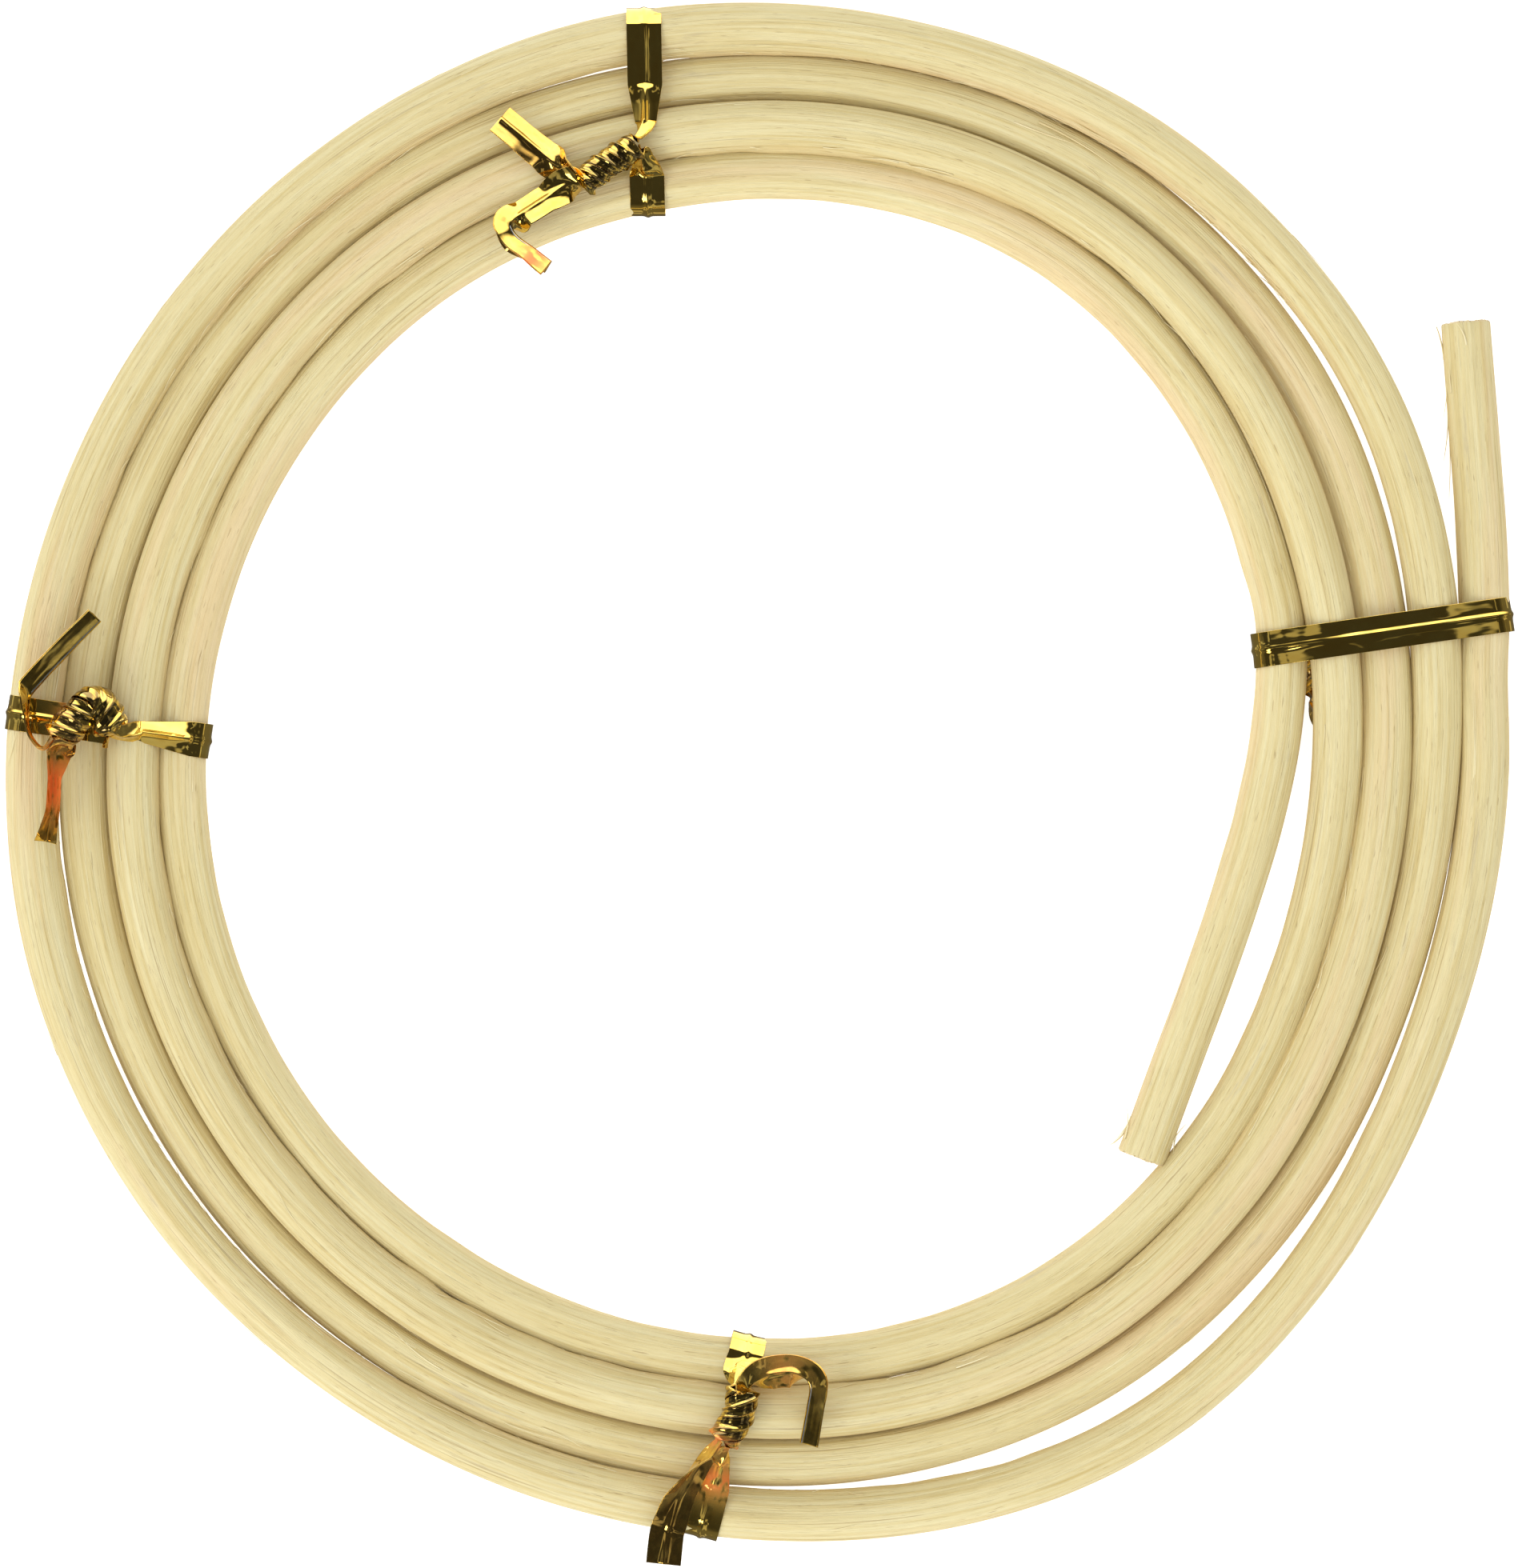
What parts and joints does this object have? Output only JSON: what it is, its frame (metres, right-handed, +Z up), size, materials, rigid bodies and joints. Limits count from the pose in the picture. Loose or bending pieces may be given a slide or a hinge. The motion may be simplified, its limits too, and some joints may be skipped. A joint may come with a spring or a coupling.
{
  "type": "wreath frame",
  "caption": "Flat ring for a wreath: a rattan reed rod coiled into a flat spiral, held by gold foil twist ties passed round all of its turns.",
  "frame": {"origin": "on the surface that the ring lies on, under the middle of the object's bounding box", "axes": "+Z up out of the surface, through the hole; +Y towards the tie at the top of the ring; +X towards the tie whose twist is underneath"},
  "size_m": [0.1975, 0.2029, 0.0149],
  "materials": {
    "reed": "raw, unvarnished",
    "tie_face": "metallised film, mirror bright",
    "tie_back": "metallised film, mirror bright",
    "tie_wire": "bare galvanised wire"
  },
  "bodies": {
    "root": {"reed_rod": "reed", "top_tie_face_film": "tie_face", "top_tie_back_film": "tie_back", "top_tie_wire": "tie_wire", "left_tie_face_film": "tie_face", "left_tie_back_film": "tie_back", "left_tie_wire": "tie_wire", "bottom_tie_face_film": "tie_face", "bottom_tie_back_film": "tie_back", "bottom_tie_wire": "tie_wire", "right_tie_face_film": "tie_face", "right_tie_back_film": "tie_back", "right_tie_wire": "tie_wire"}
  },
  "joints": []
}
